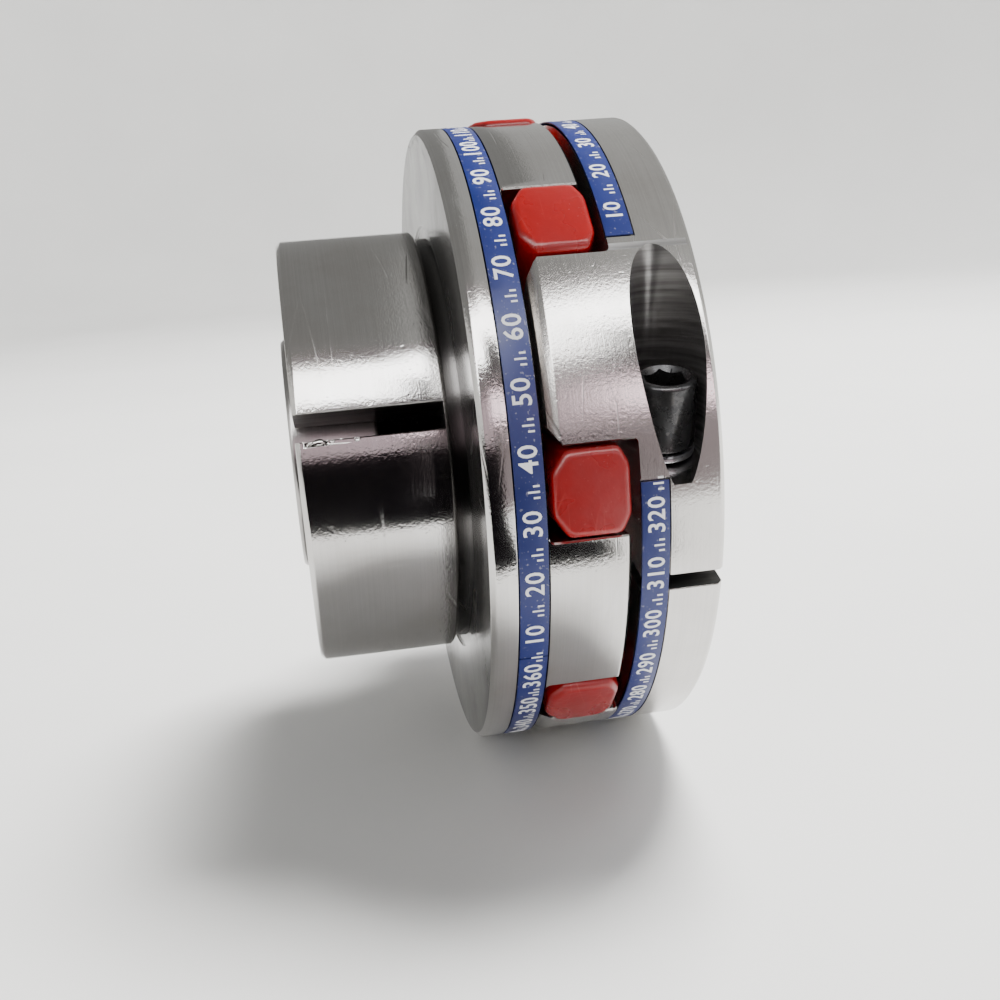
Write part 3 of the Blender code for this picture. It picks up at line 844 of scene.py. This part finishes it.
def make_clamping_hub():
    edge = BORE_EDGE
    profile = [
        (CLAMP_END, OUTER_RADIUS - RIM_CHAMFER),
        (CLAMP_END - RIM_CHAMFER, OUTER_RADIUS),
        (CLAMP_JAW_TIP + CLAMP_JAW_CHAMFER, OUTER_RADIUS),
        (CLAMP_JAW_TIP, OUTER_RADIUS - CLAMP_JAW_CHAMFER),
        (CLAMP_JAW_TIP, JAW_INNER_RADIUS + edge),
        (CLAMP_JAW_TIP + edge, JAW_INNER_RADIUS),
        (CLAMP_FLOOR, JAW_INNER_RADIUS),
        (CLAMP_FLOOR, BORE_RADIUS + edge),
        (CLAMP_FLOOR + edge, BORE_RADIUS),
        (CLAMP_END - edge, BORE_RADIUS),
        (CLAMP_END, BORE_RADIUS + edge),
    ]
    hub = lathe("clamping_hub_body", soften(profile))
    gaps = bmesh.new()
    add_jaw_gaps(gaps, CLAMP_FLOOR, CLAMP_JAW_TIP, HUB_JAW_ANGLE, CLAMP_JAW_CORNER)
    boolean(hub, mesh_object("clamp_gaps", gaps))
    boolean(hub, groove_cutter())
    slit = bmesh.new()
    outline = slit_outline(CLAMP_SLIT_WIDTH / 2, BORE_RADIUS - SLIT_OVERCUT, OUTER_RADIUS, DEBURR / 2)
    ends = (CLAMP_FLOOR - OVERRUN, CLAMP_END + OVERRUN)
    add_loft(slit, [(station, outline) for station in ends], CLAMP_SLIT_ANGLE)
    boolean(hub, mesh_object("clamp_slit", slit))
    boolean(hub, pocket_cutter())
    boolean(hub, hole_cutter())
    others = ((POCKET_STEEL, in_pocket), (SLIT_SHADE_STEEL, in_clamp_slit))
    finish_piece(hub, STEEL, "clamping_hub", ["clamping_hub"], others=others)


# ---------------------------------------------------------------- spider


def inset(points, depth):
    """A convex outline, given clockwise or not, moved inwards by depth."""
    centre = sum((Vector(point) for point in points), Vector((0.0, 0.0))) / len(points)
    moved = []
    for i, point in enumerate(points):
        here = Vector(point)
        normals = []
        for other in (points[i - 1], points[(i + 1) % len(points)]):
            side = (Vector(other) - here).normalized()
            normal = Vector((-side.y, side.x))
            if normal.dot(centre - here) < 0:
                normal = -normal
            normals.append(normal)
        shift = (normals[0] + normals[1]) / (1.0 + normals[0].dot(normals[1]))
        moved.append(tuple(here + depth * shift))
    return moved


def arm_outline(depth):
    """A spider arm's outline as (station, z) points: a block with its corners cut and eased."""
    side = ARM_HALF_THICKNESS
    low_length, low_depth = ARM_LOW_CORNER
    high_length, high_depth = ARM_HIGH_CORNER
    half = [
        (ARM_LOW, side - low_depth),
        (ARM_LOW + low_length, side),
        (ARM_HIGH - high_length, side),
        (ARM_HIGH, side - high_depth),
    ]
    points = half + [(x, -z) for x, z in reversed(half)]
    return soften(inset(points, depth), ARM_CORNER_EASE)


def add_arm(work, angle):
    """One arm, standing out along +Y and then turned: its outer edge is a rounded bevel."""
    levels = [(RING_OUTER_RADIUS - RING_OVERLAP, 0.0)]
    for turn in EDGE_TURNS:
        fall = ARM_EDGE * (1.0 - math.sin(math.radians(turn)))
        levels.append((ARM_OUTER - fall, ARM_EDGE * (1.0 - math.cos(math.radians(turn)))))
    rotation = Matrix.Rotation(angle, 4, "X")
    rings = []
    for radius, depth in levels:
        ring = [work.verts.new(rotation @ Vector((x, radius, z))) for x, z in arm_outline(depth)]
        rings.append(ring)
    for first, second in zip(rings, rings[1:]):
        for i in range(len(first)):
            j = (i + 1) % len(first)
            work.faces.new((first[i], first[j], second[j], second[i]))
    work.faces.new(rings[0])
    work.faces.new(rings[-1])


def make_spider():
    low = ARM_LOW + GAP
    high = ARM_HIGH - GAP
    profile = [
        (high, RING_OUTER_RADIUS),
        (low, RING_OUTER_RADIUS),
        (low, RING_INNER_RADIUS),
        (high, RING_INNER_RADIUS),
    ]
    spider = lathe("spider_body", soften(profile, RING_EASE))
    arms = bmesh.new()
    for i in range(2 * JAWS):
        add_arm(arms, i * ARM_PITCH)
    boolean(spider, mesh_object("arms", arms), "UNION")
    finish_piece(spider, RED, "spider", ["spider"], sharp=50.0)


# ---------------------------------------------------------------- cone, screws and washers


def make_cone():
    edge = HUB_EDGE
    profile = [
        (CONE_INNER_END, cone_radius(CONE_INNER_END) - edge),
        (CONE_INNER_END - edge, cone_radius(CONE_INNER_END - edge)),
        (CONE_OUTER_END + edge, cone_radius(CONE_OUTER_END + edge)),
        (CONE_OUTER_END, CONE_RADIUS - edge),
        (CONE_OUTER_END, CONE_THREAD_RADIUS + edge),
        (CONE_OUTER_END + edge, CONE_THREAD_RADIUS),
        (CONE_INNER_END, CONE_THREAD_RADIUS),
    ]
    cone = lathe("expansion_cone_body", soften(profile))
    pin = bmesh.new()
    pin_low, pin_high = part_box("cone_pin")
    centre = (pin_low + pin_high) / 2
    length = (pin_high - pin_low).length
    radius = (pin_high.x - pin_low.x) / 2 + GAP
    outwards = -Vector((0.0, math.cos(BOSS_SLIT_ANGLE), math.sin(BOSS_SLIT_ANGLE)))
    turn = Vector((1.0, 0.0, 0.0)).rotation_difference(outwards).to_matrix().to_4x4()
    half = length / 2
    add_lathe(pin, [(half, 0.0), (half, radius), (-half, radius), (-half, 0.0)], 32)
    boolean(cone, mesh_object("pin_hole", pin, Matrix.Translation(centre) @ turn))
    finish_piece(cone, CONE_STEEL, "cone", ["expansion_cone"])


def thread(work, radius, pitch, low, high, steps=36):
    """A threaded rod along X whose thread fades out at both ends."""
    depth = THREAD_DEPTH * pitch
    turns = int((high - low) / pitch) + 2
    grid = []
    for i in range(steps + 1):
        angle = 2 * math.pi * i / steps
        row = []
        for k in range(-1, turns):
            for part, rise in THREAD_SHAPE:
                station = low + pitch * (k + part + i / steps)
                fade = min(1.0, max(0.0, min(station - low, high - station) / pitch))
                station = min(high, max(low, station))
                here = radius - depth + depth * rise * fade
                row.append((station, here * math.cos(angle), here * math.sin(angle)))
        grid.append([work.verts.new(place) for place in row])
    for first, second in zip(grid, grid[1:]):
        for k in range(len(first) - 1):
            work.faces.new((first[k], first[k + 1], second[k + 1], second[k]))
    bmesh.ops.remove_doubles(work, verts=work.verts, dist=MERGE_DISTANCE)
    bmesh.ops.dissolve_degenerate(work, edges=work.edges, dist=LEAST_EDGE)
    bmesh.ops.holes_fill(work, edges=[edge for edge in work.edges if edge.is_boundary], sides=0)


def cap_screw(name, seat, top, head_radius, shank, tip, pitch, key_width, flutes, matrix):
    """A socket-head cap screw along X. Its head is plain, or knurled with flutes."""
    ease = HEAD_EASE * head_radius
    profile = [
        (top, 0.0),
        (top, head_radius - ease),
        (top - ease, head_radius),
        (seat, head_radius),
        (seat, 0.0),
    ]
    screw = lathe(name, soften(profile, HEAD_SOFTNESS * head_radius, closed=False), MEDIUM * 2)
    if flutes:
        for vert in screw.data.vertices:
            radius = math.hypot(vert.co.y, vert.co.z)
            if radius > head_radius - NEAR and vert.co.x < top - ease:
                wave = 0.5 + 0.5 * math.cos(flutes * math.atan2(vert.co.z, vert.co.y))
                vert.co.y *= 1.0 - KNURL_DEPTH * wave
                vert.co.z *= 1.0 - KNURL_DEPTH * wave
    rod = bmesh.new()
    thread(rod, shank, pitch, tip, seat + THREAD_OVERLAP)
    boolean(screw, mesh_object("rod", rod), "UNION")
    socket = bmesh.new()
    corner = key_width / math.sqrt(3)
    floor = top - SOCKET_DEPTH * (top - seat)
    ease = MOUTH_EASE * key_width
    profile = [
        (top + OVERRUN, 0.0),
        (top + OVERRUN, corner),
        (floor, corner),
        (floor - SOCKET_POINT * corner, 0.0),
    ]
    add_lathe(socket, profile, 6)
    boolean(screw, mesh_object("socket", socket))
    mouth = bmesh.new()
    flat = key_width / 2
    profile = [
        (top + ease, 0.0),
        (top + ease, corner + 2 * ease),
        (top - ease, corner),
        (top - ease - (corner - flat), flat),
        (top - ease - (corner - flat), 0.0),
    ]
    add_lathe(mouth, profile, MEDIUM)
    boolean(screw, mesh_object("mouth", mouth))
    screw.data.transform(matrix)
    return screw


def make_screws():
    head_seat = DRAW_WASHER_HIGH.x + GAP
    draw = cap_screw(
        "draw_screw_body",
        head_seat,
        DRAW_HIGH.x,
        DRAW_HIGH.z,
        DRAW_SHANK_RADIUS,
        DRAW_LOW.x,
        DRAW_THREAD_PITCH,
        DRAW_KEY_WIDTH,
        KNURL_FLUTES,
        Matrix.Identity(4),
    )
    finish_piece(draw, OXIDE, "draw_screw", ["draw_screw"])
    head_seat = POCKET_FLOOR + GAP + CLAMP_WASHER_THICKNESS + GAP
    clamp = cap_screw(
        "clamping_screw_body",
        head_seat,
        head_seat + CLAMP_HEAD_HEIGHT,
        CLAMP_HEAD_RADIUS,
        CLAMP_SHANK_RADIUS,
        CLAMP_SCREW_TIP,
        CLAMP_THREAD_PITCH,
        CLAMP_KEY_WIDTH,
        0,
        SCREW_FRAME,
    )
    finish_piece(clamp, OXIDE, "clamping_screw", ["clamping_screw"])


def washer(name, low, high, inner, outer, matrix=None):
    profile = [(high, outer), (low, outer), (low, inner), (high, inner)]
    return lathe(name, soften(profile, WASHER_EASE), MEDIUM * 2, matrix)


def make_washers():
    low = DRAW_WASHER_LOW.x
    high = DRAW_WASHER_HIGH.x
    draw = washer("draw_washer_body", low, high, SCREW_HOLE_RADIUS, DRAW_WASHER_HIGH.z)
    finish_piece(draw, ZINC, "expanding_hub", ["draw_screw_washer"])
    low = POCKET_FLOOR + GAP
    high = low + CLAMP_WASHER_THICKNESS
    sizes = (low, high, CLAMP_HOLE_RADIUS, CLAMP_WASHER_RADIUS)
    clamp = washer("clamping_washer_body", *sizes, SCREW_FRAME)
    finish_piece(clamp, ZINC, "clamping_screw_washer", ["clamping_screw_washer"])


# ---------------------------------------------------------------- label bands and their scale


def band(name, low, high, start, end):
    """A thin foil wrapped from start to end round the coupling axis."""
    inner = OUTER_RADIUS - BAND_DEPTH
    outer = OUTER_RADIUS - BAND_SINK
    section = soften([(low, inner), (high, inner), (high, outer), (low, outer)], BAND_EASE)
    work = bmesh.new()
    rings = []
    steps = int(FINE * (end - start) / (2 * math.pi))
    for i in range(steps + 1):
        angle = start + (end - start) * i / steps
        ring = [(x, r * math.cos(angle), r * math.sin(angle)) for x, r in section]
        rings.append([work.verts.new(place) for place in ring])
    for first, second in zip(rings, rings[1:]):
        for i in range(len(first)):
            j = (i + 1) % len(first)
            work.faces.new((first[i], first[j], second[j], second[i]))
    work.faces.new(rings[0])
    work.faces.new(rings[-1])
    return mesh_object(name, work)


def text_mesh(text, height):
    """A line of figures as a flat mesh, centred, with letters of this height."""
    curve = bpy.data.curves.new("figures", "FONT")
    curve.body = text
    curve.size = height / CAPITAL_SHARE
    curve.align_x = "CENTER"
    curve.extrude = FIGURE_THICKNESS
    curve.offset = FIGURE_WEIGHT
    curve.space_character = FIGURE_SPACING
    curve.resolution_u = 3
    carrier = bpy.data.objects.new("figures", curve)
    SCENE.collection.objects.link(carrier)
    graph = bpy.context.evaluated_depsgraph_get()
    mesh = bpy.data.meshes.new_from_object(carrier.evaluated_get(graph))
    bpy.data.objects.remove(carrier)
    return mesh


def add_wrapped(work, mesh, baseline, angle):
    """Wraps a flat mesh on the rim: it reads round the axis, its top towards the flange."""
    start = len(work.verts)
    work.from_mesh(mesh)
    work.verts.ensure_lookup_table()
    radius = OUTER_RADIUS - BAND_SINK
    for vert in work.verts[start:]:
        turn = angle - vert.co.x / radius
        here = radius + vert.co.z
        vert.co = Vector((baseline - vert.co.y, here * math.cos(turn), here * math.sin(turn)))


def tick_mesh(width, height):
    work = bmesh.new()
    bmesh.ops.create_cube(work, size=1.0)
    bmesh.ops.scale(work, vec=(width, height, 2 * FIGURE_THICKNESS), verts=work.verts)
    bmesh.ops.translate(work, vec=(0.0, height / 2, 0.0), verts=work.verts)
    mesh = bpy.data.meshes.new("tick")
    work.to_mesh(mesh)
    work.free()
    return mesh


def scale_marks(name, low, high, first_angle, sweep, letter_height):
    """A degree scale round a band: figures every ten degrees, and ticks between them."""
    work = bmesh.new()
    baseline = (low + high) / 2 + letter_height / 2
    short_tick = tick_mesh(TICK_WIDTH, TICK_SHARES[0] * letter_height)
    long_tick = tick_mesh(TICK_WIDTH, TICK_SHARES[1] * letter_height)
    for i in range(int(sweep / SCALE_STEP)):
        angle = first_angle - (i + 0.5) * SCALE_STEP
        add_wrapped(work, text_mesh(str(10 * (i + 1)), letter_height), baseline, angle)
        mark = angle - SCALE_STEP / 2
        add_wrapped(work, long_tick, baseline, mark)
        for part in (-1, 1):
            add_wrapped(work, short_tick, baseline, mark + part * TICK_STEP)
    return mesh_object(name, work)


def make_labels():
    low = FLANGE_BAND_LOW.x - BAND_OVERLAP
    high = FLANGE_BAND_HIGH.x + BAND_OVERLAP
    start = FLANGE_BAND_SEAM + SEAM_HALF_ANGLE
    end = FLANGE_BAND_SEAM + 2 * math.pi - SEAM_HALF_ANGLE
    foil_band = band("flange_band_foil", low, high, start, end)
    finish_piece(foil_band, BLUE, "expanding_hub", ["flange_label_band"])
    circle = 2 * math.pi
    sizes = (FLANGE_BAND_SEAM, circle, FLANGE_FIGURE_HEIGHT)
    marks = scale_marks("flange_band_figures", low, high, *sizes)
    finish_piece(marks, WHITE, "expanding_hub")
    low = CLAMP_FLOOR
    high = CLAMP_BAND_HIGH.x + BAND_OVERLAP
    start = BAND_OPENING_CENTRE + BAND_OPENING_HALF_ANGLE + BAND_END_GAP
    end = BAND_OPENING_CENTRE - BAND_OPENING_HALF_ANGLE - BAND_END_GAP + circle
    foil_band = band("clamp_band_foil", low, high, start, end)
    finish_piece(foil_band, BLUE, "clamping_hub", ["clamp_label_band"])
    marks = scale_marks("clamp_band_figures", low, high, end, end - start, CLAMP_FIGURE_HEIGHT)
    finish_piece(marks, WHITE, "clamping_hub")


# ---------------------------------------------------------------- floor, lights and camera


def make_floor():
    """A pale floor that curves up into a low wall all round."""
    level = SPIDER_LOW.z - FLOOR_GAP
    profile = [(level, 0.0)]
    for turn in range(0, 91, 10):
        angle = math.radians(turn)
        rise = FLOOR_BEND * (1 - math.cos(angle))
        profile.append((level + rise, FLOOR_RADIUS + FLOOR_BEND * math.sin(angle)))
    profile.append((level + WALL_HEIGHT, FLOOR_RADIUS + FLOOR_BEND))
    work = bmesh.new()
    rings = []
    for height, reach in profile:
        count = MEDIUM if reach > 0 else 1
        ring = []
        for i in range(count):
            angle = 2 * math.pi * i / count
            ring.append(work.verts.new((reach * math.cos(angle), reach * math.sin(angle), height)))
        rings.append(ring)
    for first, second in zip(rings, rings[1:]):
        for i in range(MEDIUM):
            j = (i + 1) % MEDIUM
            corners = [first[i % len(first)], first[j % len(first)], second[j], second[i]]
            work.faces.new(list(dict.fromkeys(corners)))
    floor = mesh_object("studio_floor", work)
    floor.data.materials.append(floor_material("pale_floor"))
    floor.data.shade_smooth()


def glow(name, colour, strength):
    made = bpy.data.materials.new(name)
    made.use_nodes = True
    tree = made.node_tree
    tree.nodes.remove(tree.nodes["Principled BSDF"])
    emission = add_node(tree, "ShaderNodeEmission", {"Color": (*colour, 1.0), "Strength": strength})
    tree.links.new(emission.outputs[0], tree.nodes["Material Output"].inputs["Surface"])
    return made


def reflector(name, places, ends, colour, strength):
    """A card along X between two ends, through (y, z) places. It shows only in reflections."""
    work = bmesh.new()
    rows = []
    for y, z in places:
        rows.append([work.verts.new((x, y, z)) for x in ends])
    for first, second in zip(rows, rows[1:]):
        work.faces.new((first[0], first[1], second[1], second[0]))
    card = mesh_object(name, work)
    card.data.materials.append(glow(name, colour, strength))
    card.visible_camera = False
    card.visible_diffuse = False
    card.visible_shadow = False
    card.visible_transmission = False


def arc_places(low, high, distance):
    """(y, z) places at a distance from the axis, between two elevations seen from the front."""
    places = []
    for i in range(CARD_STEPS + 1):
        angle = math.radians(low + (high - low) * i / CARD_STEPS)
        places.append((-distance * math.cos(angle), distance * math.sin(angle)))
    return places


def area_light(name, place, size, power, colour):
    light = bpy.data.lights.new(name, "AREA")
    light.shape = "RECTANGLE"
    light.size = size[0]
    light.size_y = size[1]
    light.energy = power
    light.color = colour
    made = bpy.data.objects.new(name, light)
    made.location = place
    made.rotation_euler = (-Vector(place)).to_track_quat("-Z", "Y").to_euler()
    made.visible_camera = False
    made.visible_glossy = False
    SCENE.collection.objects.link(made)


def make_lights():
    front = arc_places(*FRONT_CARD, NEAR_CARD)
    reflector("front_card", front, (-FAR_END, NEAR_SPLIT), BLACK, 1.0)
    reflector("right_front_card", front, (NEAR_SPLIT, FAR_END), DIM, 0.9)
    # A black card lying on the floor in front, seen only in reflections: painted shade of the floor in
    # front of the coupling, as the steel mirrors it.
    level = SPIDER_LOW.z + FLOOR_CARD_GAP
    floor_shade = [(-place, level) for place in FLOOR_SHADE_CARD]
    reflector("front_floor_shade_card", floor_shade, (-FAR_END, FLOOR_SPLIT), BLACK, 1.0)
    sides = ((LEFT_CARDS, (-FAR_END, CARD_SPLIT)), (RIGHT_CARDS, (CARD_SPLIT, FAR_END)))
    for cards, ends in sides:
        for name, low, high, colour, strength in cards:
            reflector(name, arc_places(low, high, FAR_CARD), ends, colour, strength)
    for light in AREA_LIGHTS:
        area_light(*light)
    world = bpy.data.worlds.new("studio")
    world.use_nodes = True
    background = world.node_tree.nodes["Background"]
    background.inputs["Color"].default_value = WORLD_COLOUR
    background.inputs["Strength"].default_value = WORLD_STRENGTH
    SCENE.world = world


def make_camera():
    lens = bpy.data.cameras.new("camera")
    lens.sensor_width = SENSOR_WIDTH
    lens.lens = CAMERA_LENS
    lens.clip_start = CAMERA_CLIP
    camera = bpy.data.objects.new("camera", lens)
    azimuth = Matrix.Rotation(CAMERA_AZIMUTH, 4, "Z")
    tilt = Matrix.Rotation(CAMERA_TILT, 4, "X")
    roll = Matrix.Rotation(CAMERA_ROLL, 4, "Z")
    place = Matrix.Translation(CAMERA_PLACE)
    camera.matrix_world = place @ azimuth @ tilt @ roll
    SCENE.collection.objects.link(camera)
    SCENE.camera = camera


make_camera()
make_floor()
make_lights()
make_expanding_hub()
make_clamping_hub()
make_spider()
make_cone()
make_screws()
make_washers()
make_labels()
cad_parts["cone_pin"].data.materials.clear()
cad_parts["cone_pin"].data.materials.append(CONE_STEEL)
